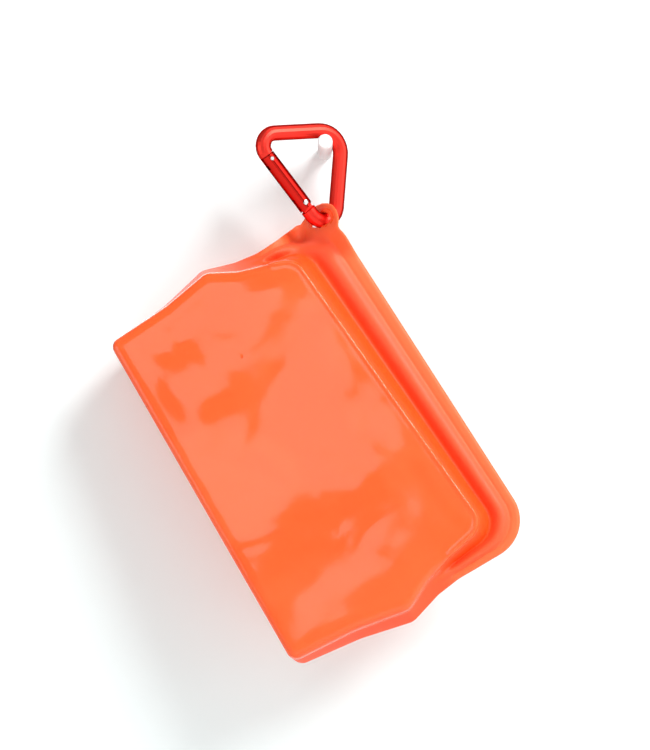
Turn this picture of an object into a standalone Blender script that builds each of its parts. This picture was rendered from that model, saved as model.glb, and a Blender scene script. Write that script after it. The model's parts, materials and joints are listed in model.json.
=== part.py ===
"""Silicone treat pouch hanging closed from its triangular carabiner.

World frame: the origin is the seat of the carabiner on a peg, +Z is up and the pouch shows its front
to -Y. The pouch is drawn in its own frame first: x along the mouth, from the tab end to the free end,
y through its depth, with the front at -y, and z from the base to the mouth. Lengths are in millimetres
up to the last step, which turns each mesh into metres.
"""

import math

import bmesh
import bpy
from mathutils import Matrix, Vector

MM = 0.001

# Pouch moulding
WALL = 1.8  # wall of the shells
PANEL_EDGE = 2.4  # the front face's edge is turned back this far
PARTING = 0.2  # half of the gap between front and back along the middle plane
GAP = 0.35  # gap between two solids of the one moulding
BASE_DEPTH = 15.0  # from the middle plane to the front face, at the base
TOP_DEPTH = 10.5  # the same at the top edge of the front face
PANEL_TOP = 75.5  # height of the top edge of the front face, at its middle
PANEL_SLOPE = 0.055  # the top edge rises towards the free end, because the moulding hangs from a corner
FAN = 0.00033  # share by which the height grows for each millimetre towards the free end
MOUTH_TOP = 91.7
LIP_HALF = 1.7  # half of the thickness of the two lips together
LIP_END = 54.0  # the lips part between -LIP_END and LIP_END
VALLEY = 3.4  # from the edge of the front face out to the root of the flange
NECK_LOW, NECK_HIGH = 55.0, 66.0  # the side wall turns into the flange between these heights
MIN_FLANGE = 2.0  # narrowest part of the flange's corners
SHELL_CLEAR = 0.9  # from the shells' outline out to those corners
WEB_END = 0.5  # the side webs stop this share of the way up the neck

# Outline at the middle plane and outline of the front face: (x, z, corner radius), free end side
SEAM = [(65.0, 0.0, 4.0), (67.8, 23.0, 40.0), (72.0, 41.2, 6.0), (68.4, 53.0, 8.0), (67.3, 61.5, 25.0)]
FACE = [(63.5, 0.0, 3.5), (65.0, 23.5, 40.0), (68.4, 42.2, 5.0), (63.2, 52.0, 10.0), (59.9, 62.7, 30.0)]
MOUTH_CORNER = (67.3, MOUTH_TOP, 14.0)
FACE_CORNER = (56.6, PANEL_TOP, 7.5)

LIP_ROOT = MOUTH_TOP - PANEL_TOP - VALLEY - GAP  # height of a lip at its middle

# Press seal along the mouth, measured down from the mouth's edge
SEAL_DROP = 7.0  # edge of the mouth to the middle of the seal
CHANNEL_WIDTH, CHANNEL_DEPTH = 3.0, 2.2
RIB_WIDTH, RIB_DEPTH = 2.0, 1.8
BULGE = 2.4  # how far the channel's back stands out of the front lip
BULGE_HALF = 3.6

# Hanging eyelet in the tab end corner of the flange
EYE = Vector((-64.6, 0.0, 85.5))
EYE_HOLE_R = 3.7
EYE_OUTER_R = 6.5
EYE_CLEAR = 0.75  # between the rod and the top of the hole before it is twisted
EYE_STRETCH = 1.1  # the rod widens the eyelet sideways
EYE_TWIST = math.tan(math.radians(55.0))  # and turns it this much out of the flange
TWIST_FULL, TWIST_END = 3.0, 8.0  # the twist dies out between these distances below the hole
SPREAD_FULL, SPREAD_END = 6.5, 12.0  # and between these distances to either side of it

# How the pouch hangs
POUCH_TILT = math.radians(59.45)
POUCH_YAW = math.radians(-9.0)

# Carabiner, in its own plane: x to the right, z up
ROD_R = 2.7
CARABINER_TURN = math.radians(25.0)  # the gate side stands out towards the viewer
TOP_LEFT = Vector((-28.4, 0.0, 0.3))
TOP_RIGHT = Vector((6.84, 0.0, 3.7))
BOTTOM = Vector((3.3, 0.0, -36.8))
TOP_LEFT_R, TOP_RIGHT_R, BOTTOM_R = 4.6, 7.8, 5.4

# Gate, measured from its rivet towards the nose
RIVET_FROM_CORNER = 30.5  # along the gate's side, from the top left corner
NOSE_FACE, STUB_FACE = 21.6, -3.1
GATE_TIP = 21.25
GATE_TAIL_OUTER, GATE_TAIL_INNER = -2.7, -1.0
BORE_R = 1.55
FORK_WIDTH = 2.2
TIP_SLOT, TAIL_SLOT = 16.6, 3.2
TONGUE_WIDTH, TONGUE_HALF = 1.6, 1.9
NOSE_TONGUE_END, PIVOT_TONGUE_END = 18.0, 2.2
LATCH_AT = 19.6
LATCH_R, LATCH_HOLE_R, LATCH_NOTCH = 0.65, 0.74, 1.7
RIVET_R, RIVET_HOLE_R, RIVET_LENGTH = 0.95, 1.05, 5.7
SPRING_START, SPRING_END, SPRING_R, SPRING_WIRE_R, SPRING_TURNS = 6.4, 15.2, 1.15, 0.2, 6
PLUNGER_START, PLUNGER_END, PLUNGER_R = 3.6, 5.9, 1.4

ARC_STEPS = 5
ROUND_SIDES = 24


def smooth(value):
    """0 below 0, 1 above 1 and an S curve between."""
    value = min(1.0, max(0.0, value))
    return value * value * (3 - 2 * value)


# ---------------------------------------------------------------- objects and materials


def clear_scene():
    for obj in list(bpy.data.objects):
        bpy.data.objects.remove(obj)


def material(name, colour, roughness, metallic):
    mat = bpy.data.materials.new(name)
    mat.use_nodes = True
    shader = mat.node_tree.nodes["Principled BSDF"]
    shader.inputs["Base Color"].default_value = (*colour, 1)
    shader.inputs["Roughness"].default_value = roughness
    shader.inputs["Metallic"].default_value = metallic
    return mat


def empty(name, matrix, parent=None):
    obj = bpy.data.objects.new(name, None)
    bpy.context.scene.collection.objects.link(obj)
    obj.parent = parent
    obj.matrix_basis = matrix
    return obj


def add(name, bm, mat, parent, origin=(0, 0, 0), smooth_angle=None):
    """Makes an object from a mesh in millimetres, with its own origin at a point of the parent's frame."""
    bmesh.ops.recalc_face_normals(bm, faces=bm.faces)
    bmesh.ops.transform(bm, matrix=Matrix.Scale(MM, 4) @ Matrix.Translation(-Vector(origin)), verts=bm.verts)
    mesh = bpy.data.meshes.new(name)
    bm.to_mesh(mesh)
    bm.free()
    mesh.materials.append(mat)
    if smooth_angle is not None:
        mesh.shade_smooth()
        mesh.set_sharp_from_angle(angle=math.radians(smooth_angle))
    obj = bpy.data.objects.new(name, mesh)
    bpy.context.scene.collection.objects.link(obj)
    obj.parent = parent
    obj.location = Vector(origin) * MM
    return obj


def cut(target, cutter, operation="DIFFERENCE"):
    """Cuts one object with another, or joins it on, and keeps the second as a hidden helper."""
    cutter.hide_render = True
    cutter.display_type = "WIRE"
    boolean = target.modifiers.new(cutter.name, "BOOLEAN")
    boolean.operation = operation
    boolean.object = cutter


# ---------------------------------------------------------------- shapes


def box(low, high):
    bm = bmesh.new()
    bmesh.ops.create_cube(bm, size=1.0)
    low, high = Vector(low), Vector(high)
    centre = Matrix.Translation((low + high) / 2)
    bmesh.ops.transform(bm, matrix=centre @ Matrix.Diagonal((*(high - low), 1)), verts=bm.verts)
    return bm


def rod(start, end, radius, sides=ROUND_SIDES):
    """A plain round bar between two points."""
    bm = bmesh.new()
    start, end = Vector(start), Vector(end)
    along = end - start
    turn = along.to_track_quat("Z", "Y").to_matrix().to_4x4()
    place = Matrix.Translation((start + end) / 2) @ turn
    bmesh.ops.create_cone(
        bm, cap_ends=True, segments=sides, radius1=radius, radius2=radius, depth=along.length, matrix=place
    )
    return bm


def prism(outline, low, high):
    """An outline in the x-z plane, extruded through y."""
    bm = bmesh.new()
    face = bm.faces.new([bm.verts.new((x, low, z)) for x, z in outline])
    swept = bmesh.ops.extrude_face_region(bm, geom=[face])["geom"]
    moved = [v for v in swept if isinstance(v, bmesh.types.BMVert)]
    bmesh.ops.translate(bm, vec=(0, high - low, 0), verts=moved)
    return bm


def tube_along(points, radius, resolution):
    """A round wire along a line of points, as a mesh."""
    curve = bpy.data.curves.new("path", "CURVE")
    curve.dimensions = "3D"
    curve.bevel_depth = radius
    curve.bevel_resolution = resolution
    curve.use_fill_caps = True
    spline = curve.splines.new("POLY")
    spline.points.add(len(points) - 1)
    for target, point in zip(spline.points, points):
        target.co = (*point, 1)
    obj = bpy.data.objects.new("path", curve)
    bm = bmesh.new()
    bm.from_mesh(obj.to_mesh())
    bmesh.ops.remove_doubles(bm, verts=bm.verts, dist=1e-4)
    obj.to_mesh_clear()
    bpy.data.objects.remove(obj)
    bpy.data.curves.remove(curve)
    return bm


def fillet(before, corner, after, radius, steps):
    """The points of a rounded corner."""
    to_before, to_after = (before - corner).normalized(), (after - corner).normalized()
    half = to_before.angle(to_after) / 2
    centre = corner + (to_before + to_after).normalized() * radius / math.sin(half)
    start = corner + to_before * radius / math.tan(half) - centre
    end = corner + to_after * radius / math.tan(half) - centre
    sweep = start.angle(end)
    points = []
    for step in range(steps + 1):
        part = step / steps
        first = math.sin((1 - part) * sweep) / math.sin(sweep)
        second = math.sin(part * sweep) / math.sin(sweep)
        points.append(centre + start * first + end * second)
    return points


def loft(rings):
    """A closed solid through rings of equal length, capped at both ends."""
    bm = bmesh.new()
    layers = [[bm.verts.new(point) for point in ring] for ring in rings]
    count = len(layers[0])
    for lower, upper in zip(layers, layers[1:]):
        for index in range(count):
            after = (index + 1) % count
            bm.faces.new((lower[index], lower[after], upper[after], upper[index]))
    bm.faces.new(layers[0])
    bm.faces.new(layers[-1])
    return bm


# ---------------------------------------------------------------- outlines of the pouch


def fanned(point):
    return Vector((point[0], 0, point[-1] * (1 + FAN * point[0])))


def closed_outline(stations, corner, slope=0.0):
    """Both sides of an outline, anticlockwise from the base at the free end, as points in x-z.

    Every outline made here has the same number of points, so that they pair up into walls."""
    right = [*stations, corner]
    left = [(-x, z, r) for x, z, r in reversed(right)]
    loop = [(Vector((x, 0, z + (slope * x if z == corner[1] else 0))), r) for x, z, r in right + left]
    points = []
    for index, (here, radius) in enumerate(loop):
        before, after = loop[index - 1][0], loop[(index + 1) % len(loop)][0]
        arc = fillet(before, here, after, radius, ARC_STEPS)
        points.extend(arc)
        if abs(after.x - here.x) > LIP_END:  # the mouth and the base get points along them
            far = after + (here - after).normalized() * radius
            points.extend(arc[-1].lerp(far, step / 6) for step in range(1, 6))
    return [fanned(point) for point in points]


def outward(points, distance):
    """The outline moved outwards in its own plane, or inwards for a negative distance."""
    moved = []
    for index, point in enumerate(points):
        along = points[(index + 1) % len(points)] - points[index - 1]
        moved.append(point + Vector((along.z, 0, -along.x)).normalized() * distance)
    return moved


def depth_at(z):
    return BASE_DEPTH + (TOP_DEPTH - BASE_DEPTH) * z / PANEL_TOP


def at_depth(points, depths):
    return [Vector((point.x, depth, point.z)) for point, depth in zip(points, depths)]


def pouch_outlines():
    """The seam outline, the face outline, how far each point is up the neck, and the flange's root."""
    seam = closed_outline(SEAM, MOUTH_CORNER)
    face = closed_outline(FACE, FACE_CORNER, PANEL_SLOPE)
    neck = [smooth((point.z - NECK_LOW) / (NECK_HIGH - NECK_LOW)) for point in seam]
    root = [a.lerp(b, share) for a, b, share in zip(seam, outward(face, VALLEY), neck)]
    return seam, face, neck, root


# ---------------------------------------------------------------- pouch


def back_shell(face, root):
    """The back half: a tray from the middle plane to the back face, with half of the base."""
    inner_face, inner_root = outward(face, -WALL), outward(root, -WALL)
    rings = [
        at_depth(face, [depth_at(p.z) for p in face]),
        at_depth(root, [PARTING] * len(root)),
        at_depth(inner_root, [PARTING] * len(root)),
        at_depth(inner_face, [depth_at(p.z) - WALL for p in inner_face]),
    ]
    return loft(rings)


def skirt(face, neck, root, extra=0.0):
    """The free edge of the front face: close behind it at the sides, at the middle plane at the neck."""
    line = []
    for outer, share, base in zip(face, neck, root):
        edge = Vector((outer.x, -depth_at(outer.z) + PANEL_EDGE, outer.z))
        line.append(edge.lerp(Vector((base.x, -PARTING, base.z)), share) + Vector((0, extra, 0)))
    return line


def front_panel(face, neck, root):
    """The front face with its turned edge and, at the top, the shoulder that steps back to the flange."""
    inner_face = outward(face, -WALL)
    edge = skirt(face, neck, root)
    inner_edge = [Vector((p.x, q.y, p.z)) for p, q in zip(outward(edge, -WALL), edge)]
    rings = [
        at_depth(face, [-depth_at(p.z) for p in face]),
        edge,
        inner_edge,
        at_depth(inner_face, [-depth_at(p.z) + WALL for p in inner_face]),
    ]
    return loft(rings)


def side_web(face, neck, root, indices):
    """The front half of one side wall, which unfolds when the mouth opens."""
    front = skirt(face, neck, root, GAP)
    inner_front = [Vector((p.x, q.y, p.z)) for p, q in zip(outward(front, -WALL), front)]
    seam, inner_seam = root, outward(root, -WALL)
    rings = []
    for index in indices:
        corners = [front[index], seam[index], inner_seam[index], inner_front[index]]
        rings.append([Vector((p.x, -PARTING if p in corners[1:3] else p.y, p.z)) for p in corners])
    return loft(rings)


def base_panel(face, seam):
    """The front half of the base, between the back shell and the edge of the front face."""
    front_x = max(p.x for p in face if p.z < 0.01) - GAP
    back_x = max(p.x for p in seam if p.z < 0.01) - GAP
    front_y = -BASE_DEPTH + PANEL_EDGE + GAP
    bm = bmesh.new()
    corners = [(-front_x, front_y), (front_x, front_y), (back_x, -PARTING), (-back_x, -PARTING)]
    face_below = bm.faces.new([bm.verts.new((x, y, 0)) for x, y in corners])
    swept = bmesh.ops.extrude_face_region(bm, geom=[face_below])["geom"]
    bmesh.ops.translate(bm, vec=(0, 0, WALL), verts=[v for v in swept if isinstance(v, bmesh.types.BMVert)])
    return bm


def lip_bar(profile):
    """A straight lip along the mouth from a profile of (depth, drop below the mouth's edge).

    The flange is wider at the tab end, where its profile is stretched as far."""
    rings = []
    for x in (-LIP_END, LIP_END):
        edge = fanned((x, MOUTH_TOP)).z
        root = fanned((x, PANEL_TOP + PANEL_SLOPE * x + VALLEY + GAP)).z
        stretch = (edge - root) / LIP_ROOT
        rings.append([Vector((x, y, edge - drop * stretch)) for y, drop in profile])
    return loft(rings)


def bulge(side):
    """The rounded band on the outside of a lip, from its foot nearest the mouth to the other foot."""
    steps = range(1, 6)
    angles = [math.pi * step / 6 for step in steps]
    lips = SEAL_DROP - BULGE_HALF, SEAL_DROP + BULGE_HALF
    arc = [(side * (LIP_HALF + BULGE * math.sin(a)), SEAL_DROP - BULGE_HALF * math.cos(a)) for a in angles]
    return [(side * LIP_HALF, lips[0]), *arc, (side * LIP_HALF, lips[1])]


def front_lip():
    channel = SEAL_DROP - CHANNEL_WIDTH / 2, SEAL_DROP + CHANNEL_WIDTH / 2
    floor = -PARTING - CHANNEL_DEPTH
    profile = [(-PARTING, 0), (-LIP_HALF, 0), *bulge(-1), (-LIP_HALF, LIP_ROOT), (-PARTING, LIP_ROOT)]
    profile += [(-PARTING, channel[1]), (floor, channel[1]), (floor, channel[0]), (-PARTING, channel[0])]
    return lip_bar(profile)


def back_lip():
    rib = SEAL_DROP - RIB_WIDTH / 2, SEAL_DROP + RIB_WIDTH / 2
    tip = PARTING - RIB_DEPTH
    profile = [(PARTING, 0), (LIP_HALF, 0), *bulge(1), (LIP_HALF, LIP_ROOT), (PARTING, LIP_ROOT)]
    profile += [(PARTING, rib[1]), (tip, rib[1]), (tip, rib[0]), (PARTING, rib[0])]
    return lip_bar(profile)


def corner_plate(seam, root, side):
    """The flange round one end of the mouth, where front and back are one.

    The neck tapers to nothing where the flange is narrower than MIN_FLANGE."""
    end = side * (LIP_END + GAP)
    pairs = [
        (outer, inner)
        for outer, inner in zip(seam, outward(root, SHELL_CLEAR))
        if outer.x * side > abs(end) and outer.z > NECK_LOW and (outer - inner).length > MIN_FLANGE
    ]
    outer_line = [outer for outer, inner in pairs]
    inner_line = [inner for outer, inner in pairs if inner.x * side > abs(end)]
    mouth_corner = Vector((end, 0, fanned((end, MOUTH_TOP)).z))
    root_corner = Vector((end, 0, (inner_line[-1] if side > 0 else inner_line[0]).z))
    loop = [*outer_line, mouth_corner, root_corner, *reversed(inner_line)]
    if side < 0:
        loop = [mouth_corner, *outer_line, *reversed(inner_line), root_corner]
    return prism([(point.x, point.z) for point in loop], -LIP_HALF, LIP_HALF)


def eyelet_axes():
    """Unit vectors in the flange: sideways, and down from the hole, both as the pouch hangs."""
    cos, sin = math.cos(POUCH_TILT), math.sin(POUCH_TILT)
    return Vector((cos, 0, sin)), Vector((sin, 0, -cos))


def eyelet_plug(radius, reach):
    """A disc as thick as twice its reach, wider sideways than it is high."""
    sideways, down = eyelet_axes()
    turn = Matrix((sideways, Vector((0, 1, 0)), -down)).transposed().to_4x4()
    bm = rod((0, -reach, 0), (0, reach, 0), radius, 32)
    place = Matrix.Translation(EYE) @ turn @ Matrix.Diagonal((EYE_STRETCH, 1, 1, 1))
    bmesh.ops.transform(bm, matrix=place, verts=bm.verts)
    return bm


def twist_eyelet(bm):
    """Turns the eyelet out of the flange, as the rod through it does."""
    sideways, down = eyelet_axes()
    for along, offsets in ((down, (1.5, 3.0, 4.5, 6.0, 8.0)), (sideways, (-12, -9, -6.2, -3, 0, 3, 6.2, 9))):
        for offset in offsets:
            geometry = [*bm.verts, *bm.edges, *bm.faces]
            bmesh.ops.bisect_plane(bm, geom=geometry, plane_co=EYE + along * offset, plane_no=along)
    for vert in bm.verts:
        side, drop = (vert.co - EYE).dot(sideways), (vert.co - EYE).dot(down)
        fall = 1 - smooth((drop - TWIST_FULL) / (TWIST_END - TWIST_FULL))
        spread = 1 - smooth((abs(side) - SPREAD_FULL) / (SPREAD_END - SPREAD_FULL))
        vert.co.y -= side * EYE_TWIST * fall * spread


def evaluated_bmesh(obj):
    """The mesh of an object after its Booleans, as a bmesh in millimetres, and removes the object."""
    bpy.context.view_layer.update()
    graph = bpy.context.evaluated_depsgraph_get()
    bm = bmesh.new()
    bm.from_mesh(obj.evaluated_get(graph).to_mesh())
    bmesh.ops.transform(bm, matrix=Matrix.Scale(1 / MM, 4), verts=bm.verts)
    bpy.data.objects.remove(obj)
    return bm


def tab_corner(seam, root, mat):
    """The flange corner with the hanging eyelet in it."""
    plate = add("tab_plate", corner_plate(seam, root, -1), mat, None)
    ring = add("tab_ring", eyelet_plug(EYE_OUTER_R, LIP_HALF), mat, None)
    hole = add("tab_hole", eyelet_plug(EYE_HOLE_R, LIP_HALF * 2), mat, None)
    cut(plate, ring, "UNION")
    cut(plate, hole)
    bm = evaluated_bmesh(plate)
    bpy.data.objects.remove(ring)
    bpy.data.objects.remove(hole)
    twist_eyelet(bm)
    bmesh.ops.triangulate(bm, faces=bm.faces)
    return bm


def build_pouch(silicone, pouch_frame):
    seam, face, neck, root = pouch_outlines()
    # The pouch frame's origin is the eyelet, and the front turns about the edge of the base.
    hinge = Vector((0, -BASE_DEPTH, 0))
    front_frame = empty("front_frame", Matrix.Translation((hinge - EYE) * MM), pouch_frame)

    def moulded(name, bm, parent=pouch_frame, origin=EYE):
        obj = add(name, bm, silicone, parent, origin, smooth_angle=30)
        obj.location = (0, 0, 0)
        return obj

    moulded("back_shell", back_shell(face, root))
    moulded("front_panel", front_panel(face, neck, root), front_frame, hinge)
    moulded("base_panel", base_panel(face, seam))
    rising = [i for i, p in enumerate(seam) if p.x > 60 and (neck[i] < WEB_END)]
    falling = [i for i, p in enumerate(seam) if p.x < -60 and (neck[i] < WEB_END)]
    moulded("side_web_free_end", side_web(face, neck, root, rising))
    moulded("side_web_tab_end", side_web(face, neck, root, falling))
    moulded("front_lip", front_lip(), front_frame, hinge)
    moulded("back_lip", back_lip())
    moulded("free_corner", corner_plate(seam, root, 1))
    moulded("tab_corner", tab_corner(seam, root, silicone))


# ---------------------------------------------------------------- carabiner


def gate_direction():
    """Along the gate's side, from the top left corner down to the bottom corner."""
    return (BOTTOM - TOP_LEFT).normalized()


def rivet_point():
    return TOP_LEFT + gate_direction() * RIVET_FROM_CORNER


def gate_place():
    """The gate's frame: x from the rivet to the nose, y along the rivet, z outwards."""
    towards_nose = -gate_direction()
    across = Vector((0, 1, 0))
    outwards = towards_nose.cross(across)
    return Matrix((towards_nose, across, outwards)).transposed().to_4x4()


def ring_centre():
    """The middle of the rod at the lowest point of the bottom corner, which the eyelet hangs on."""
    to_left, to_right = (TOP_LEFT - BOTTOM).normalized(), (TOP_RIGHT - BOTTOM).normalized()
    half = to_left.angle(to_right) / 2
    centre = BOTTOM + (to_left + to_right).normalized() * BOTTOM_R / math.sin(half)
    return centre - Vector((0, 0, BOTTOM_R))


def carabiner_line():
    """The middle line of the bent rod, from the nose round to the stub under the gate."""
    rivet, to_nose = rivet_point(), -gate_direction()
    nose, stub = rivet + to_nose * NOSE_FACE, rivet + to_nose * STUB_FACE
    line = [nose]
    line += fillet(nose, TOP_LEFT, TOP_RIGHT, TOP_LEFT_R, 10)
    line += fillet(TOP_LEFT, TOP_RIGHT, BOTTOM, TOP_RIGHT_R, 10)
    line += fillet(TOP_RIGHT, BOTTOM, stub, BOTTOM_R, 12)
    return [*line, stub]


def build_carabiner(anodised, steel, frame, gate_frame):
    rivet = rivet_point()
    body = add("carabiner_body", tube_along(carabiner_line(), ROD_R, 6), anodised, frame, smooth_angle=35)
    half = TONGUE_WIDTH / 2

    def helper(name, bm):
        """A cutter or an added block, drawn in the gate's frame and placed in the carabiner's."""
        bmesh.ops.transform(bm, matrix=Matrix.Translation(rivet) @ gate_place(), verts=bm.verts)
        return add(name, bm, anodised, frame)

    nose_tongue = box((NOSE_TONGUE_END, -half, -TONGUE_HALF), (NOSE_FACE + 1.0, half, TONGUE_HALF))
    pivot_tongue = box((STUB_FACE - 1.0, -half, -TONGUE_HALF), (PIVOT_TONGUE_END, half, TONGUE_HALF))
    bmesh.ops.bevel(
        pivot_tongue,
        geom=[e for e in pivot_tongue.edges if all(v.co.x > 0 for v in e.verts)],
        offset=0.25,
        segments=1,
        affect="EDGES",
        profile=0.5,
        material=-1,
    )
    cut(body, helper("nose_tongue", nose_tongue), "UNION")
    cut(body, helper("pivot_tongue", pivot_tongue), "UNION")
    notch = box((LATCH_AT - LATCH_NOTCH / 2, -2, -3), (LATCH_AT + LATCH_NOTCH / 2, 2, LATCH_NOTCH / 2))
    cut(body, helper("latch_notch", notch))
    cut(body, helper("pivot_hole", rod((0, -2, 0), (0, 2, 0), RIVET_HOLE_R)))

    sleeve = rod((GATE_TAIL_OUTER, 0, 0), (GATE_TIP, 0, 0), ROD_R, 32)
    tail_slope = Vector((2 * ROD_R, 0, GATE_TAIL_INNER - GATE_TAIL_OUTER)).normalized()
    bmesh.ops.bisect_plane(
        sleeve,
        geom=[*sleeve.verts, *sleeve.edges, *sleeve.faces],
        plane_co=(GATE_TAIL_OUTER, 0, ROD_R),
        plane_no=-tail_slope,
        clear_outer=True,
    )
    bmesh.ops.holes_fill(sleeve, edges=[e for e in sleeve.edges if e.is_boundary])
    gate = add("gate_sleeve", sleeve, anodised, gate_frame, smooth_angle=35)
    slot_half = FORK_WIDTH / 2
    cut(gate, add("gate_bore", rod((-5, 0, 0), (GATE_TIP + 3, 0, 0), BORE_R), anodised, gate_frame))
    tip_slot = box((TIP_SLOT, -slot_half, -4), (GATE_TIP + 2, slot_half, 4))
    cut(gate, add("tip_slot", tip_slot, anodised, gate_frame))
    tail_slot = box((-6, -slot_half, -4), (TAIL_SLOT, slot_half, 4))
    cut(gate, add("tail_slot", tail_slot, anodised, gate_frame))
    latch_hole = rod((LATCH_AT, -4, 0), (LATCH_AT, 4, 0), LATCH_HOLE_R)
    cut(gate, add("latch_hole", latch_hole, anodised, gate_frame))
    cut(gate, add("rivet_hole", rod((0, -4, 0), (0, 4, 0), RIVET_HOLE_R), anodised, gate_frame))

    pin = rod((LATCH_AT, -ROD_R + 0.25, 0), (LATCH_AT, ROD_R - 0.25, 0), LATCH_R)
    add("latch_pin", pin, steel, gate_frame, smooth_angle=35)
    plunger = rod((PLUNGER_START, 0, 0), (PLUNGER_END, 0, 0), PLUNGER_R)
    add("spring_plunger", plunger, steel, gate_frame, smooth_angle=35)
    add("gate_spring", gate_spring(), steel, gate_frame, smooth_angle=60)

    shank = rod((0, -RIVET_LENGTH / 2, 0), (0, RIVET_LENGTH / 2, 0), RIVET_R)
    rims = [e for e in shank.edges if abs(e.verts[0].co.y - e.verts[1].co.y) < 0.001]
    bmesh.ops.bevel(shank, geom=rims, offset=0.3, segments=2, affect="EDGES", profile=0.5, material=-1)
    add("gate_rivet", shank, steel, empty("rivet_frame", gate_frame.matrix_basis.copy(), frame), smooth_angle=40)


def gate_spring():
    """The coil spring inside the gate, which presses the plunger on the pivot tongue."""
    count = SPRING_TURNS * 12
    line = []
    for step in range(count + 1):
        turn = 2 * math.pi * SPRING_TURNS * step / count
        along = SPRING_START + (SPRING_END - SPRING_START) * step / count
        line.append(Vector((along, SPRING_R * math.cos(turn), SPRING_R * math.sin(turn))))
    return tube_along(line, SPRING_WIRE_R, 1)


# ---------------------------------------------------------------- assembly


def build():
    clear_scene()
    silicone = material("coral_silicone", (1.0, 0.16, 0.06), 0.22, 0.0)
    anodised = material("red_anodised_aluminium", (0.72, 0.012, 0.01), 0.28, 1.0)
    steel = material("bright_steel", (0.75, 0.75, 0.75), 0.25, 1.0)

    turn = Matrix.Rotation(CARABINER_TURN, 4, "Z")
    carabiner_frame = empty("carabiner_frame", turn)
    gate_frame = empty("gate_frame", Matrix.Translation(rivet_point() * MM) @ gate_place(), carabiner_frame)
    build_carabiner(anodised, steel, carabiner_frame, gate_frame)

    eye = turn @ ring_centre() - Vector((0, 0, EYE_HOLE_R - ROD_R - EYE_CLEAR))
    hang = Matrix.Rotation(POUCH_TILT, 4, "Y") @ Matrix.Rotation(POUCH_YAW, 4, "Z")
    pouch_frame = empty("pouch_frame", Matrix.Translation(eye * MM) @ hang)
    build_pouch(silicone, pouch_frame)


build()
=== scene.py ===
"""Silicone treat pouch that hangs closed from its triangular carabiner, on a peg in a white wall.

Everything is in metres, in the frame of the CAD model: the origin is the seat of the carabiner on the
peg, +Z is up and the pouch shows its front to -Y. The pouch is drawn in millimetres in its own frame and
then hung: x along the mouth towards the free end, y through the depth, z from the base to the mouth.
"""

import json
import math

import bmesh
import bpy
from mathutils import Matrix, Vector, noise
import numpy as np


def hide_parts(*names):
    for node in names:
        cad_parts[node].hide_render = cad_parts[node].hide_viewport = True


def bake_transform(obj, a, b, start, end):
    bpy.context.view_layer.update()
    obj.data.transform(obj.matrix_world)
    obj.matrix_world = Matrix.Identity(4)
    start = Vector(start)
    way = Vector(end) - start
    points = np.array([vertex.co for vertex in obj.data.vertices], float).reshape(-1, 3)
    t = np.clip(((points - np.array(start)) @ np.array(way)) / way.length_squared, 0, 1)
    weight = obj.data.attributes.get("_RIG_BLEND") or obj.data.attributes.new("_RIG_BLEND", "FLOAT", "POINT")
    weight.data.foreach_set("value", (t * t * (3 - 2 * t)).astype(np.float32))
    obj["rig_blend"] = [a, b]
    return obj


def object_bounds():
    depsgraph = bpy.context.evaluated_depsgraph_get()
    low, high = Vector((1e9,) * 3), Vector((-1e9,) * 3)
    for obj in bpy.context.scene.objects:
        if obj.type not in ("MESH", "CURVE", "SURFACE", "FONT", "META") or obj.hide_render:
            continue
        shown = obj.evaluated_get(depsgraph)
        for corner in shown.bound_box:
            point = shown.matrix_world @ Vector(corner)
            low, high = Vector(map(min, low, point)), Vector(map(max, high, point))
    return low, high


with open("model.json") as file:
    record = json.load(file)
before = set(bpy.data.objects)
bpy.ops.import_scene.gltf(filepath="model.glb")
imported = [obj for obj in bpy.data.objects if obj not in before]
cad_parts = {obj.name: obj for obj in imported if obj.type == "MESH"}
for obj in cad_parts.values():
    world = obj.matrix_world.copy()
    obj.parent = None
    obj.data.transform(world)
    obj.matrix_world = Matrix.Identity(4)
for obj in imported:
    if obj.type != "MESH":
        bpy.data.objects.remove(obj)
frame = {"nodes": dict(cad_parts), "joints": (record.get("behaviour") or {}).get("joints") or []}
cad_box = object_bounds()

# ------------------------------------------------------------------ pouch moulding
# One piece of coral silicone, moulded glossy on its two flat faces and satin round the mouth. Front and
# back are alike and grow together at the ends of the mouth, where one corner carries the hanging eyelet.
# A wall of 1.8 mm runs all round, and each lip carries half of a press seal behind its rounded rib.

MM = 0.001
WALL = 1.8
BASE_DEPTH, TOP_DEPTH = 15.0, 10.5  # middle plane to front face, at the base and at the top of that face
PANEL_TOP, MOUTH_TOP = 75.5, 91.7
PANEL_SLOPE = 0.055  # hung from one corner, the top of the front face rises towards the free end
FAN = 0.00033  # and the moulding grows in height by this share per millimetre
FLANGE = MOUTH_TOP - PANEL_TOP  # from the mouth's edge down to the top edge of the front face
LIP_GAP = 0.2  # from the middle plane to the inside of a lip

# Corners of the outline at the middle plane and of the front face: (x, z, radius), from the base upwards
SEAM = [(65.0, 0.0, 4.0), (67.8, 23.0, 40.0), (72.0, 41.2, 6.0), (68.4, 53.0, 8.0), (67.3, 61.5, 25.0)]
SEAM.append((67.3, MOUTH_TOP, 14.0))
FACE = [(63.5, 0.0, 3.5), (65.0, 23.5, 40.0), (68.4, 42.2, 5.0), (63.2, 52.0, 10.0), (59.9, 62.7, 30.0)]
FACE.append((56.6, PANEL_TOP, 7.5))
NECK_LOW, NECK_HIGH = 55.0, 66.0  # the side wall turns into the flange between these heights

ARC_POINTS = 16
SIDE_POINTS, LONG_POINTS = 4, 64


def s_curve(value, low=0.0, high=1.0):
    """0 below low, 1 above high and an S curve between."""
    share = min(1.0, max(0.0, (value - low) / (high - low)))
    return share * share * (3 - 2 * share)


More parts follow.
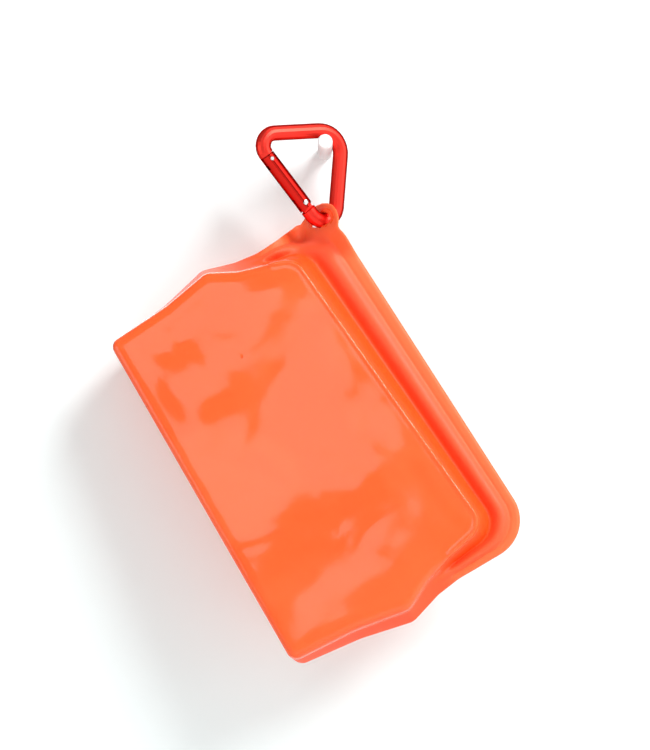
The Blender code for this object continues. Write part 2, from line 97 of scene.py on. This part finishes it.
def rounded(before, corner, after, radius):
    """The points of one rounded corner of an outline."""
    to_before, to_after = (before - corner).normalized(), (after - corner).normalized()
    half = to_before.angle(to_after) / 2
    centre = corner + (to_before + to_after).normalized() * radius / math.sin(half)
    start = corner + to_before * radius / math.tan(half) - centre
    end = corner + to_after * radius / math.tan(half) - centre
    turn = math.atan2(start.x * end.y - start.y * end.x, start.dot(end)) / ARC_POINTS
    return [centre + Matrix.Rotation(turn * step, 2) @ start for step in range(ARC_POINTS + 1)]


def closed_outline(stations, slope):
    """An outline anticlockwise from the base at the free end, with the same number of points at any size."""
    stations = stations + [(-x, z, radius) for x, z, radius in reversed(stations)]
    top = max(z for x, z, radius in stations)
    loop = [(Vector((x, z + (slope * x if z == top else 0))), radius) for x, z, radius in stations]
    arcs = []
    for index, (corner, radius) in enumerate(loop):
        after = loop[(index + 1) % len(loop)][0]
        arcs.append(rounded(loop[index - 1][0], corner, after, radius))
    points = []
    for index, arc in enumerate(arcs):
        is_long = index in (len(arcs) // 2 - 1, len(arcs) - 1)
        count = LONG_POINTS if is_long else SIDE_POINTS
        following = arcs[(index + 1) % len(arcs)][0]
        points += arc
        points += [arc[-1].lerp(following, step / count) for step in range(1, count)]
    return [Vector((p.x, p.y * (1 + FAN * p.x))) for p in points]


def inward_normals(points):
    normals = []
    for index, point in enumerate(points):
        along = (points[(index + 1) % len(points)] - points[index - 1]).normalized()
        normals.append(Vector((-along.y, along.x)))
    return normals


seam = closed_outline(SEAM, 0.0)
face = closed_outline(FACE, PANEL_SLOPE)
inward = inward_normals(face)
flange_share = [s_curve(p.y, NECK_LOW, NECK_HIGH) for p in seam]
mouth_start = (ARC_POINTS + SIDE_POINTS) * 6 - SIDE_POINTS
slit = range(mouth_start, mouth_start + LONG_POINTS + 1)  # points between which the lips part

# The hanging eyelet: its ring swells out of the corner of the outline, and the rod through it twists it
EYE = Vector((-64.6, 85.5))
EYE_HOLE_R, EYE_OUTER_R, EYE_STRETCH = 3.7, 6.5, 1.1
EYE_TWIST = math.tan(math.radians(55.0))
TWIST_FULL, TWIST_END = 2.0, 13.0  # the twist dies out between these distances below the hole
SPREAD_FULL, SPREAD_END = 6.0, 17.0  # and between these to either side of it
RING = EYE + Vector((-0.5, -0.85))  # the ring is a little thicker on the side away from the mouth
CORNER_CENTRE = Vector((-53.3, 77.7))
EYE_BELOW, EYE_FRONT = 0.3, 0.8  # the pull of the rod flattens the lower half and the front half of the hole
EYE_BLEND = 6.0  # reach of the fillet between the ring and the outline
LIP_THICK, EYE_FLAT = 1.7, (5.7, 10.0)  # the rib dies out to the lip's thickness as it nears the eyelet
WEB_OUT, WEB_WIDE = 3.0, 38.0  # a web fills the angle between the ring and the side of the flange
WEB_LOW = 2.0  # degrees below the level of the corner's centre at which the web is widest
RING_FLARE = 3.0  # slope with which the ring's sides run out into the outline
SWELL_FADE = (0.5, 5.5)  # the swelling dies out between these distances from the outline


def swell(point):
    """How far the outline moves out at a point of the tab end corner, to go round the eyelet's ring."""
    ray = point - CORNER_CENTRE
    to_ring = RING - CORNER_CENTRE
    if ray.x > 0:
        return Vector((0, 0))
    along = to_ring.dot(ray.normalized())
    aside = math.sqrt(max(0.0, to_ring.length_squared - along * along))
    ring_r = EYE_OUTER_R * EYE_STRETCH
    reach = along + math.sqrt(max(0.0, ring_r * ring_r - aside * aside))
    reach -= RING_FLARE * max(0.0, aside - ring_r)
    from_level = math.degrees(math.atan2(-ray.y, -ray.x))  # below the level of the corner's centre
    web = WEB_OUT * (1 - s_curve(abs(from_level - WEB_LOW), 0, WEB_WIDE))
    near = max(0.0, EYE_BLEND - abs(reach - ray.length)) / EYE_BLEND
    joined = max(reach, ray.length + web) + near * near * EYE_BLEND / 4
    return ray.normalized() * (joined - ray.length)


# Outside of the flange, from the mouth's edge: (distance from the edge, share of the depth, millimetres
# added to it). First the rounded lip, then a faint groove, the rib of the seal, the deep groove and the
# step up to the face.
FLANGE_OUTSIDE = [
    (0.0, 0, LIP_GAP),
    (0.03, 0, 0.9),
    (0.35, 0, 1.38),
    (0.9, 0, 1.64),
    (1.7, 0, 1.7),
    (2.8, 0, 1.7),
    (3.5, 0, 1.64),
    (3.9, 0, 1.46),
    (4.3, 0, 1.62),
    (4.9, 0, 2.15),
    (5.6, 0, 2.75),
    (6.4, 0, 3.2),
    (7.3, 0, 3.4),
    (8.2, 0, 3.3),
    (9.0, 0, 2.95),
    (9.7, 0, 2.45),
    (10.4, 0, 1.85),
    (11.0, 0, 1.35),
    (11.7, 0, 1.1),
    (12.3, 0.03, 1.15),
    (13.0, 0.2, 0.8),
    (13.8, 0.45, 0.3),
    (14.7, 0.7, 0.0),
    (15.6, 0.86, -0.1),
]
# Edge of the face, from its outline inwards: (inset, what is added to the depth on the flange and on a
# side wall). On the flange it has a small raised bead, on the walls it is simply rounded.
FACE_EDGE = [
    (0.0, -1.1, -3.6),
    (0.1, -0.5, -2.6),
    (0.35, 0.1, -1.75),
    (0.7, 0.25, -1.15),
    (1.1, 0.15, -0.75),
    (1.7, -0.02, -0.42),
    (2.4, -0.05, -0.2),
    (3.2, -0.05, -0.04),
]
# Inside of the flange, the same values as outside: the two lips, with the channel of the seal in the front
# one and its rib on the back one
CHANNEL = [(5.9, 0, LIP_GAP), (6.0, 0, 1.9), (7.2, 0, 2.2), (8.4, 0, 1.9), (8.5, 0, LIP_GAP)]
RIB = [(6.3, 0, LIP_GAP), (6.5, 0, -0.9), (7.2, 0, -1.4), (7.9, 0, -0.9), (8.1, 0, LIP_GAP)]
EDGE_DEPTH = 3.8  # the rounding of the face's edge takes this much of a side wall
ROOT_INSIDE = FLANGE - WALL  # the lips end and the inside opens out at this distance from the mouth's edge

WAVE_HEIGHT, WAVE_LENGTH = 1.3, 28.0  # long hollows that the thin faces have from standing folded
RIPPLE_HEIGHT, RIPPLE_LENGTH = 0.16, 9.0
FACE_RINGS = (0.05, 0.11, 0.18, 0.26, 0.34, 0.42, 0.5, 0.58, 0.66, 0.74, 0.82, 0.9, 0.96)
INNER_RINGS = (0.1, 0.22, 0.36, 0.5, 0.65, 0.8, 0.94)  # shares of the way to a face's middle, out and inside
WAVE_FREE = 0.3  # the waves reach their full height at this share of the way to the middle of a face
MIDDLE_HEIGHT, MIDDLE_END = 37.0, 34.0  # a face's middle line, and how far it runs to either side


def depth_at(height):
    return BASE_DEPTH + (TOP_DEPTH - BASE_DEPTH) * height / PANEL_TOP


def wave(spot, side):
    """How far the face stands out of its plane at a spot."""
    long_wave = noise.noise(Vector((spot.x, spot.y * 0.8, side * 40)) / WAVE_LENGTH)
    ripple = noise.noise(Vector((spot.x + 9, spot.y, side * 40)) / RIPPLE_LENGTH)
    return WAVE_HEIGHT * long_wave + RIPPLE_HEIGHT * ripple


def towards_middle(spot, share):
    """The spot that is this share of the way from a spot of the face to its middle line."""
    middle = Vector((min(MIDDLE_END, max(-MIDDLE_END, spot.x)), MIDDLE_HEIGHT))
    return spot.lerp(middle, share)


def next_ring(bm, ring, places):
    """Draws a new ring of the skin out of the last one and returns it."""
    edges = []
    for index, vert in enumerate(ring):
        other = ring[(index + 1) % len(ring)]
        edges.append(bm.edges.get((vert, other)))
    made = bmesh.ops.extrude_edge_only(bm, edges=edges)["geom"]
    fresh = {}
    new_verts = [v for v in made if isinstance(v, bmesh.types.BMVert)]
    for old, new in zip(ring_order(ring, new_verts), new_verts):
        fresh[old] = new
    following = [fresh[vert] for vert in ring]
    for vert, place in zip(following, places):
        vert.co = place
    return following


def ring_order(ring, new_verts):
    """For each new vertex, the vertex of the ring that it was drawn out of."""
    members = set(ring)
    sources = []
    for new in new_verts:
        linked = [edge.other_vert(new) for edge in new.link_edges]
        sources.append(next(vert for vert in linked if vert in members))
    return sources


def close_face(bm, ring):
    """Fills the narrow ring left in the middle of a face, from its end at the free side to the other."""
    end = mouth_start // 2
    for step in range(len(ring) // 2):
        low, high = end - step, (end + step) % len(ring)
        corners = {ring[low], ring[low - 1], ring[high], ring[(high + 1) % len(ring)]}
        bmesh.ops.contextual_create(bm, geom=list(corners))


SKIN_ZONES = ("lip", "groove", "satin", "opening")
LIP_FADE, GROOVE_START, GROOVE_END = (3.4, 5.2), (9.8, 11.8), (FLANGE - 0.6, FLANGE)
SATIN_END = (FLANGE - 0.6, FLANGE + 0.3)  # distances from the mouth's edge between which a finish changes
WALL_PAINTED_SHADE = 0.6  # the side walls have this share of the groove's painted shade
BOW = (4.0, 52.0)  # the front bows out between these distances from its middle as the mouth opens


def skin_half(bm, side):
    """One half of the moulding, outside and inside: side is -1 for the front and 1 for the back."""
    count = len(seam)
    layers = bm.verts.layers.float
    lip, groove, satin, opening = (layers[name] for name in SKIN_ZONES)

    def along_flange(index, distance):
        """A point of the flange, or of the face past the end of it."""
        spot = seam[index].lerp(face[index], min(1.0, distance / FLANGE))
        spot += inward[index] * max(0.0, distance - FLANGE)
        return spot + swell(seam[index]) * (1 - s_curve(distance, *SWELL_FADE))

    def placed(index, wall, wall_out, distance, share, extra):
        weight = flange_share[index]
        spot = wall.lerp(along_flange(index, distance), weight)
        extra -= max(0.0, extra - LIP_THICK) * (1 - s_curve((spot - EYE).length, *EYE_FLAT))
        out = wall_out + (share * depth_at(spot.y) + extra - wall_out) * weight
        return Vector((spot.x, side * out, spot.y))

    def mark(ring, distance, wall_share):
        """Stores on a ring its zone of the moulding, and how far it follows the front as that opens."""
        for index, vert in enumerate(ring):
            on_flange = flange_share[index]
            vert[lip] = on_flange * (1 - s_curve(distance, *LIP_FADE))
            on_wall = 1 - on_flange
            # Painted shade: the groove, and more weakly the side walls, get a darker, deeper orange where shade
            # falls
            deep = s_curve(distance, *GROOVE_START) * (1 - s_curve(distance, *GROOVE_END))
            vert[groove] = on_flange * deep + WALL_PAINTED_SHADE * on_wall * (1 - s_curve(wall_share, 0.8, 1.0))
            vert[satin] = on_flange * (1 - s_curve(distance, *SATIN_END))
            vert[satin] += on_wall * (1 - s_curve(wall_share, 0.85, 1.0))
            follows = wall_share + (1 - wall_share) * on_flange if side < 0 else 0.0
            vert[opening] = follows * (1 - s_curve(abs(vert.co.x), *BOW))

    def parting(index):
        """0 where the halves are one piece, 1 between the ends of the mouth."""
        return 1.0 if index in slit[1:-1] else 0.0

    first = []
    for index in range(count):
        spot = seam[index] + swell(seam[index]) * flange_share[index]
        first.append(bm.verts.new((spot.x, side * LIP_GAP * parting(index), spot.y)))
    for index, vert in enumerate(first):
        bm.edges.new((vert, first[(index + 1) % count]))

    mark(first, 0.0, 0.0)
    ring = first
    steps = len(FLANGE_OUTSIDE) - 1
    for step, (distance, share, extra) in enumerate(FLANGE_OUTSIDE[1:], 1):
        places = []
        for index in range(count):
            wall_share = step / steps
            wall = seam[index].lerp(face[index], wall_share)
            wall_out = wall_share * (depth_at(wall.y) - EDGE_DEPTH)
            places.append(placed(index, wall, wall_out, distance, share, extra))
        ring = next_ring(bm, ring, places)
        mark(ring, distance, step / steps)
    for inset, flange_drop, wall_drop in FACE_EDGE:
        places = []
        for index in range(count):
            wall = face[index] + inward[index] * inset
            wall_out = depth_at(wall.y) + wall_drop
            places.append(placed(index, wall, wall_out, FLANGE + inset, 1, flange_drop))
        ring = next_ring(bm, ring, places)
        mark(ring, FLANGE + inset, 1.0)
    edge = [Vector((v.co.x, v.co.z)) for v in ring]
    for share in FACE_RINGS:
        places = []
        for spot in edge:
            here = towards_middle(spot, share)
            out = depth_at(here.y) + wave(here, side) * s_curve(share, 0.0, WAVE_FREE)
            places.append(Vector((here.x, side * out, here.y)))
        ring = next_ring(bm, ring, places)
        mark(ring, FLANGE + FACE_EDGE[-1][0], 1.0)
    close_face(bm, ring)

    seal = CHANNEL if side < 0 else RIB
    lip_inside = [(0.6, 0, LIP_GAP), (3.5, 0, LIP_GAP), *seal, (11.0, 0, LIP_GAP), (ROOT_INSIDE, 0, LIP_GAP)]
    ring = first
    inner = []
    for step, (distance, share, extra) in enumerate(lip_inside, 1):
        places = []
        for index in range(count):
            wall = seam[index] + inward[index] * WALL * step / len(lip_inside)
            open_here = parting(index)
            if not open_here:
                distance = ROOT_INSIDE * step / len(lip_inside)
            places.append(placed(index, wall, 0.0, distance, share, extra * open_here))
        ring = next_ring(bm, ring, places)
        mark(ring, distance, 0.0)
        inner.append(ring)
    solid = []  # behind the flange's ends and the walls the two halves are one
    for index in range(count):
        after = (index + 1) % count
        if parting(index) or parting(after):
            continue
        for upper, lower in zip([first, *inner], inner):
            corners = {upper[index], upper[after], lower[index], lower[after]}
            solid.append(next(f for f in upper[index].link_faces if set(f.verts) == corners))
    for step, share in enumerate((0.3, 0.65, 0.9, 1.0), 1):
        places = []
        for index in range(count):
            wall = seam[index].lerp(face[index], share) + inward[index] * WALL
            wall_out = share * (depth_at(wall.y) - WALL)
            distance = ROOT_INSIDE + (FLANGE + WALL - ROOT_INSIDE) * share
            extra = LIP_GAP * parting(index) * (1 - share) - WALL * share
            places.append(placed(index, wall, wall_out, distance, share, extra))
        ring = next_ring(bm, ring, places)
        mark(ring, FLANGE + WALL, share)
    edge = [Vector((v.co.x, v.co.z)) for v in ring]
    for share in INNER_RINGS:
        places = []
        for spot in edge:
            here = towards_middle(spot, share)
            out = depth_at(here.y) - WALL + wave(here, side) * s_curve(share, 0.0, WAVE_FREE)
            places.append(Vector((here.x, side * out, here.y)))
        ring = next_ring(bm, ring, places)
        mark(ring, FLANGE + WALL, 1.0)
    close_face(bm, ring)
    bmesh.ops.delete(bm, geom=solid, context="FACES")


skin = bmesh.new()
for zone in SKIN_ZONES:
    skin.verts.layers.float.new(zone)
for side in (-1, 1):
    skin_half(skin, side)
bmesh.ops.remove_doubles(skin, verts=skin.verts, dist=0.004)
bmesh.ops.recalc_face_normals(skin, faces=skin.faces)


def mesh_object(name, bm, smooth_angle=180.0):
    """An object in the object's own frame from a finished bmesh."""
    mesh = bpy.data.meshes.new(name)
    bm.to_mesh(mesh)
    bm.free()
    mesh.shade_smooth()
    if smooth_angle < 180.0:
        mesh.set_sharp_from_angle(angle=math.radians(smooth_angle))
    obj = bpy.data.objects.new(name, mesh)
    bpy.context.scene.collection.objects.link(obj)
    return obj


# The hole is cut with a spool, so that both of its rims are rounded
hole = bmesh.new()
spool = [(0, -5), (1.5, -5), (1.15, -1.75), (0.5, -1.5), (0.12, -1.05), (0, -0.5)]
profile = [(0.0, -5.0)] + [(EYE_HOLE_R + flare, y) for flare, y in spool[1:]]
profile += [(radius, -y) for radius, y in reversed(profile)]
line = [hole.verts.new((radius, y, 0)) for radius, y in profile]
edges = [hole.edges.new(pair) for pair in zip(line, line[1:])]
bmesh.ops.spin(
    hole, geom=[*line, *edges], axis=(0, 1, 0), cent=(0, 0, 0), angle=math.tau, steps=48, use_merge=True
)
bmesh.ops.remove_doubles(hole, verts=hole.verts, dist=0.001)
bmesh.ops.scale(hole, vec=(1, 1, EYE_BELOW), verts=[vert for vert in hole.verts if vert.co.z < 0])
bmesh.ops.scale(hole, vec=(EYE_FRONT, 1, 1), verts=[vert for vert in hole.verts if vert.co.x > 0])
bmesh.ops.recalc_face_normals(hole, faces=hole.faces)
POUCH_TILT, POUCH_YAW = math.radians(59.45), math.radians(-9.0)
hang_turn = Matrix.Rotation(POUCH_TILT, 4, "Y") @ Matrix.Rotation(POUCH_YAW, 4, "Z")
sideways = Vector((math.cos(POUCH_TILT), 0, math.sin(POUCH_TILT)))
down = Vector((math.sin(POUCH_TILT), 0, -math.cos(POUCH_TILT)))
eye = Vector((EYE.x, 0, EYE.y))
stretch = Matrix.Rotation(POUCH_TILT, 4, "Y").inverted() @ Matrix.Diagonal((EYE_STRETCH, 1, 1, 1))
bmesh.ops.transform(hole, matrix=Matrix.Translation(eye) @ stretch, verts=hole.verts)

pouch_skin = mesh_object("pouch_skin", skin)
spool_cutter = mesh_object("eyelet_spool", hole)
cut = pouch_skin.modifiers.new("eyelet", "BOOLEAN")
cut.operation = "DIFFERENCE"
cut.object = spool_cutter
bpy.context.view_layer.update()
shaped = bpy.data.meshes.new_from_object(pouch_skin.evaluated_get(bpy.context.evaluated_depsgraph_get()))
pouch_skin.modifiers.clear()
bpy.data.objects.remove(spool_cutter)
skin = bmesh.new()
skin.from_mesh(shaped)
for vert in skin.verts:
    offset = vert.co - eye
    side, drop = offset.dot(sideways), offset.dot(down)
    fall = 1 - s_curve(drop, TWIST_FULL, TWIST_END)
    spread = 1 - s_curve(abs(side), SPREAD_FULL, SPREAD_END)
    vert.co.y -= side * EYE_TWIST * fall * spread

# The eyelet's middle hangs just below the middle of the rod, about which the pouch swings
HANG_DROP = 0.9
swing = next(joint for joint in frame["joints"] if joint["name"] == "pouch_swing")
hung_at = Vector(swing["pos_m"]) - Vector((0, 0, HANG_DROP * MM))
hang = Matrix.Translation(hung_at) @ hang_turn @ Matrix.Scale(MM, 4) @ Matrix.Translation(-eye)
bmesh.ops.transform(skin, matrix=hang, verts=skin.verts)
bmesh.ops.triangulate(skin, faces=[face for face in skin.faces if len(face.verts) > 4])
skin.to_mesh(pouch_skin.data)
skin.free()
pouch_skin.data.shade_smooth()


class Signal:
    """An output of a material's node. Arithmetic on it adds Math nodes."""

    def __init__(self, tree, socket=None):
        self.tree = tree
        self.socket = socket

    def node(self, kind, settings, inputs, output=0):
        """Any other node: its settings first, then a value or a signal for each socket named."""
        made = self.tree.nodes.new(kind)
        for name, value in settings.items():
            setattr(made, name, value)
        for name, value in inputs.items():
            if isinstance(value, Signal):
                self.tree.links.new(value.socket, made.inputs[name])
            else:
                made.inputs[name].default_value = value
        return Signal(self.tree, made.outputs[output])

    def maths(self, operation, first, second):
        return self.node("ShaderNodeMath", {"operation": operation}, {0: first, 1: second})

    def __add__(self, other):
        return self.maths("ADD", self, other)

    __radd__ = __add__

    def __mul__(self, other):
        return self.maths("MULTIPLY", self, other)

    __rmul__ = __mul__

    def between(self, low, high):
        """0 at low and 1 at high, held to that range."""
        inputs = {"Value": self, "From Min": low, "From Max": high}
        return self.node("ShaderNodeMapRange", {"clamp": True, "interpolation_type": "SMOOTHSTEP"}, inputs)

    def blend(self, first, second):
        """The first colour where this is 0, the second where it is 1."""
        inputs = {"Factor": self, "A": first, "B": second}
        made = self.tree.nodes.new("ShaderNodeMix")
        made.data_type = "RGBA"
        places = {"Factor": 0, "A": 6, "B": 7}
        for name, value in inputs.items():
            place = made.inputs[places[name]]
            if isinstance(value, Signal):
                self.tree.links.new(value.socket, place)
            else:
                place.default_value = (*value, 1)
        return Signal(self.tree, made.outputs[2])


def finish_material(name, fixed, varying):
    """A material: fixed values go on the shader's own sockets, and varying gives a signal for each other."""
    material = bpy.data.materials.new(name)
    material.use_nodes = True
    tree = material.node_tree
    shader = tree.nodes["Principled BSDF"]
    for socket, value in fixed.items():
        shader.inputs[socket].default_value = value
    for socket, signal in varying(Signal(tree)).items():
        tree.links.new(signal.socket, shader.inputs[socket])
    return material


PANEL_CORAL = (1.0, 0.108, 0.02)
# Painted reflection: the paler coral of soft light patches mirrored on the glossy faces
PANEL_PAINTED_REFLECTION = (1.0, 0.122, 0.028)
LIP_PALE = (1.0, 0.145, 0.04)
RIB_PINK = (1.0, 0.1, 0.028)
# Painted shade: the darker, deeper orange laid into the groove and onto the side walls
GROOVE_PAINTED_SHADE = (1.0, 0.075, 0.004)


def silicone_look(start):
    """Blotchy gloss on the faces with painted reflection in paler patches, satin on the flange, painted shade in
    the groove and on the side walls, a pale thin lip.
    """
    place = start.node("ShaderNodeTexCoord", {}, {}, 3)
    zones = {name: start.node("ShaderNodeAttribute", {"attribute_name": name}, {}, 2) for name in SKIN_ZONES}
    inputs = {"Vector": place, "Scale": 26.0, "Detail": 2.0, "Roughness": 0.5, "Distortion": 0.6}
    gloss_and_reflection_patches = start.node("ShaderNodeTexNoise", {}, inputs).between(0.4, 0.62)
    inputs = {"Vector": place, "Scale": 45.0, "Detail": 1.0, "Distortion": 0.8}
    hollows = start.node("ShaderNodeTexNoise", {}, inputs)
    grain = start.node("ShaderNodeTexNoise", {}, {"Vector": place, "Scale": 2500.0, "Detail": 2.0})
    # Painted reflection: the noise that varies the gloss also lays paler patches of reflected light on the faces
    flat = gloss_and_reflection_patches.blend(PANEL_CORAL, PANEL_PAINTED_REFLECTION)
    satin = zones["satin"].blend(flat, RIB_PINK)
    groove_shaded = zones["groove"].blend(satin, GROOVE_PAINTED_SHADE)
    colour = zones["lip"].blend(groove_shaded, LIP_PALE)
    roughness = 0.07 + 0.03 * gloss_and_reflection_patches + 0.45 * zones["satin"] + 0.03 * grain
    inputs = {"Height": hollows, "Strength": 0.5, "Distance": 0.0007}
    waved = start.node("ShaderNodeBump", {}, inputs)
    inputs = {"Height": grain, "Strength": 0.06, "Distance": 0.00005, "Normal": waved}
    return {"Base Color": colour, "Roughness": roughness, "Normal": start.node("ShaderNodeBump", {}, inputs)}


silicone = finish_material(
    "coral_silicone",
    {
        "IOR": 1.42,
        "Subsurface Weight": 0.3,
        "Subsurface Radius": (1.0, 0.3, 0.12),
        "Subsurface Scale": 0.003,
    },
    silicone_look,
)
pouch_skin.data.materials.clear()
pouch_skin.data.materials.append(silicone)
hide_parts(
    "back_shell",
    "base_panel",
    "side_web_free_end",
    "side_web_tab_end",
    "front_panel",
    "front_lip",
    "back_lip",
    "free_corner",
    "tab_corner",
)
# The front leans out in the middle of the mouth and stays joined to the back at its ends
leaning = [value.value for value in pouch_skin.data.attributes["opening"].data]
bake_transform(pouch_skin, "pouch", "front", start=hang @ Vector((0, 0, 0)), end=hang @ Vector((0, -BASE_DEPTH, 0)))
pouch_skin.data.attributes["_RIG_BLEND"].data.foreach_set("value", leaning)

# ------------------------------------------------------------------ carabiner
# A 5.4 mm aluminium rod bent to a triangle, and a drilled and slotted bar of the same rod for its gate, both
# dyed red in the anodising bath. The dye is thin, so the metal shines through it.

ANODISED_RED = (0.92, 0.05, 0.035)
# Painted shade: the dark red laid on the rims where the rod turns away
ANODISED_EDGE_SHADE = (0.3, 0.0, 0.0)


def anodised_look(gloss):
    """The dyed metal, with painted shade that darkens it where it turns away from the view; the glossier, the
    deeper its colour.
    """

    def look(start):
        place = start.node("ShaderNodeTexCoord", {}, {}, 3)
        cloud = start.node("ShaderNodeTexNoise", {}, {"Vector": place, "Scale": 160.0, "Detail": 3.0})
        grain = start.node("ShaderNodeTexNoise", {}, {"Vector": place, "Scale": 5000.0, "Detail": 2.0})
        # Painted shade: darker towards the silhouette, in place of the dark room the metal would mirror there
        painted_edge_shade = start.node("ShaderNodeLayerWeight", {}, {"Blend": 0.5}, 1).between(0.35 - 0.3 * gloss, 0.95)
        dyed = tuple(part * (1 - 0.6 * gloss) for part in ANODISED_RED[1:])
        colour = painted_edge_shade.blend((ANODISED_RED[0] - 0.25 * gloss, *dyed), ANODISED_EDGE_SHADE)
        roughness = 0.4 - 0.22 * gloss + 0.06 * cloud
        inputs = {"Height": grain, "Strength": 0.05, "Distance": 0.00002}
        brushed = start.node("ShaderNodeBump", {}, inputs)
        return {"Base Color": colour, "Roughness": roughness, "Normal": brushed}

    return look


for name, gloss in (("carabiner_body", 0.1), ("gate_sleeve", 1.0)):
    fixed = {"Metallic": 1.0, "Specular Tint": (0.45, 0.02, 0.02, 1)}
    anodised = finish_material(f"red_anodised_{name}", fixed, anodised_look(gloss))
    node = frame["nodes"][name]
    node.data.materials.clear()
    node.data.materials.append(anodised)

# ------------------------------------------------------------------ rivet, latch pin, plunger and spring
# Turned and drawn steel, left bright: the rivet that the gate turns on, the pin across its tip, and the
# plunger and coil spring inside it.


def steel_look(start):
    place = start.node("ShaderNodeTexCoord", {}, {}, 3)
    cloud = start.node("ShaderNodeTexNoise", {}, {"Vector": place, "Scale": 900.0, "Detail": 3.0})
    colour = cloud.between(0.3, 0.7).blend((0.62, 0.61, 0.6), (0.78, 0.77, 0.76))
    return {"Base Color": colour, "Roughness": 0.18 + 0.14 * cloud}


steel = finish_material("bright_steel", {"Metallic": 1.0}, steel_look)
for name in ("gate_rivet", "latch_pin", "spring_plunger", "gate_spring"):
    node = frame["nodes"][name]
    node.data.materials.clear()
    node.data.materials.append(steel)

# ------------------------------------------------------------------ peg, wall and floor
# A white-painted wooden peg in a white wall, and a pale floor below. None of it is part of the pouch.

WALL_PLANE = 0.017
FLOOR_HEIGHT = -0.42
PEG_R = 0.0026
PEG_HEAD = -0.012
PEG_TILT = math.radians(2)


def stage_look(colour, roughness):
    def look(start):
        place = start.node("ShaderNodeTexCoord", {}, {}, 3)
        mottle = start.node("ShaderNodeTexNoise", {}, {"Vector": place, "Scale": 40.0, "Detail": 4.0})
        paler = tuple(min(1.0, part * 1.02) for part in colour)
        return {"Base Color": mottle.blend(colour, paler), "Roughness": roughness + 0.1 * mottle}

    return look


peg_shape = bmesh.new()
line = [(0.0, PEG_HEAD), (PEG_R * 0.8, PEG_HEAD), (PEG_R, PEG_HEAD + 0.0006), (PEG_R, WALL_PLANE + 0.001)]
verts = [peg_shape.verts.new((radius, y, 0)) for radius, y in line]
edges = [peg_shape.edges.new(pair) for pair in zip(verts, verts[1:])]
bmesh.ops.spin(
    peg_shape, geom=[*verts, *edges], axis=(0, 1, 0), cent=(0, 0, 0), angle=math.tau, steps=48, use_merge=True
)
tilted = Matrix.Translation((0, 0, -PEG_R)) @ Matrix.Rotation(-PEG_TILT, 4, "X")
bmesh.ops.transform(peg_shape, matrix=tilted, verts=peg_shape.verts)
bmesh.ops.remove_doubles(peg_shape, verts=peg_shape.verts, dist=1e-6)
bmesh.ops.recalc_face_normals(peg_shape, faces=peg_shape.faces)
peg = mesh_object("peg", peg_shape, 40.0)
peg.data.materials.append(finish_material("peg_paint", {}, stage_look((0.85, 0.85, 0.85), 0.35)))

wall_shape = bmesh.new()
bmesh.ops.create_grid(wall_shape, x_segments=4, y_segments=4, size=0.5)
upright = Matrix.Translation((0, WALL_PLANE, FLOOR_HEIGHT + 0.5)) @ Matrix.Rotation(math.radians(90), 4, "X")
bmesh.ops.transform(wall_shape, matrix=upright, verts=wall_shape.verts)
wall = mesh_object("wall", wall_shape)
wall_paint = finish_material("wall_paint", {}, stage_look((0.85, 0.93, 0.93), 0.85))
tree = wall_paint.node_tree
behind = Signal(tree).node("ShaderNodeNewGeometry", {}, {}, 6)
clear = Signal(tree).node("ShaderNodeBsdfTransparent", {}, {})
painted = Signal(tree, tree.nodes["Principled BSDF"].outputs[0])
seen = Signal(tree).node("ShaderNodeMixShader", {}, {0: behind, 1: painted, 2: clear})
tree.links.new(seen.socket, tree.nodes["Material Output"].inputs["Surface"])
wall.data.materials.append(wall_paint)
wall.visible_diffuse = wall.visible_glossy = wall.visible_transmission = wall.visible_shadow = False

floor_shape = bmesh.new()
bmesh.ops.create_grid(floor_shape, x_segments=4, y_segments=4, size=1.5)
bmesh.ops.translate(floor_shape, vec=(0, 0, FLOOR_HEIGHT), verts=floor_shape.verts)
floor = mesh_object("floor", floor_shape)
floor.data.materials.append(finish_material("floor_paint", {}, stage_look((0.82, 0.81, 0.8), 0.6)))

# ------------------------------------------------------------------ light and camera
# A pale room: soft daylight from the upper right, more from the right side, a weak fill from the left, a
# light behind, and in front the small window that the glossy face mirrors.

world = bpy.data.worlds.new("room")
world.use_nodes = True
world.node_tree.nodes["Background"].inputs["Color"].default_value = (1.0, 1.0, 1.0, 1)
world.node_tree.nodes["Background"].inputs["Strength"].default_value = 0.46
bpy.context.scene.world = world
bpy.context.scene.view_settings.view_transform = "Standard"

LIGHTS = [
    ("daylight", (0.75, -0.8, 0.85), 0.7, 22.0),
    ("window", (-0.19, -1.14, 0.29), 0.36, 0.8),
    ("side", (1.2, -0.5, 0.15), 0.9, 4.0),
    ("fill", (-1.2, -0.7, -0.25), 0.9, 4.5),
    ("behind", (-0.3, 1.3, 0.6), 1.0, 7.0),
]
middle = (cad_box[0] + cad_box[1]) / 2
for name, spot, size, power in LIGHTS:
    lamp = bpy.data.lights.new(name, "AREA")
    lamp.shape = "DISK"
    lamp.size = size
    lamp.energy = power
    light = bpy.data.objects.new(name, lamp)
    bpy.context.scene.collection.objects.link(light)
    light.location = spot
    light.rotation_euler = (middle - Vector(spot)).to_track_quat("-Z", "Y").to_euler()

CAMERA_DISTANCE = 0.75
VIEW_HEIGHT = 0.265  # what the frame holds at that distance, from top to bottom
CAMERA_HEIGHT = -0.0834
camera_data = bpy.data.cameras.new("camera")
camera_data.lens = camera_data.sensor_width * CAMERA_DISTANCE / VIEW_HEIGHT
camera = bpy.data.objects.new("camera", camera_data)
bpy.context.scene.collection.objects.link(camera)
camera.location = (0, -CAMERA_DISTANCE, CAMERA_HEIGHT)
camera.rotation_euler = (math.radians(90), 0, 0)
bpy.context.scene.camera = camera
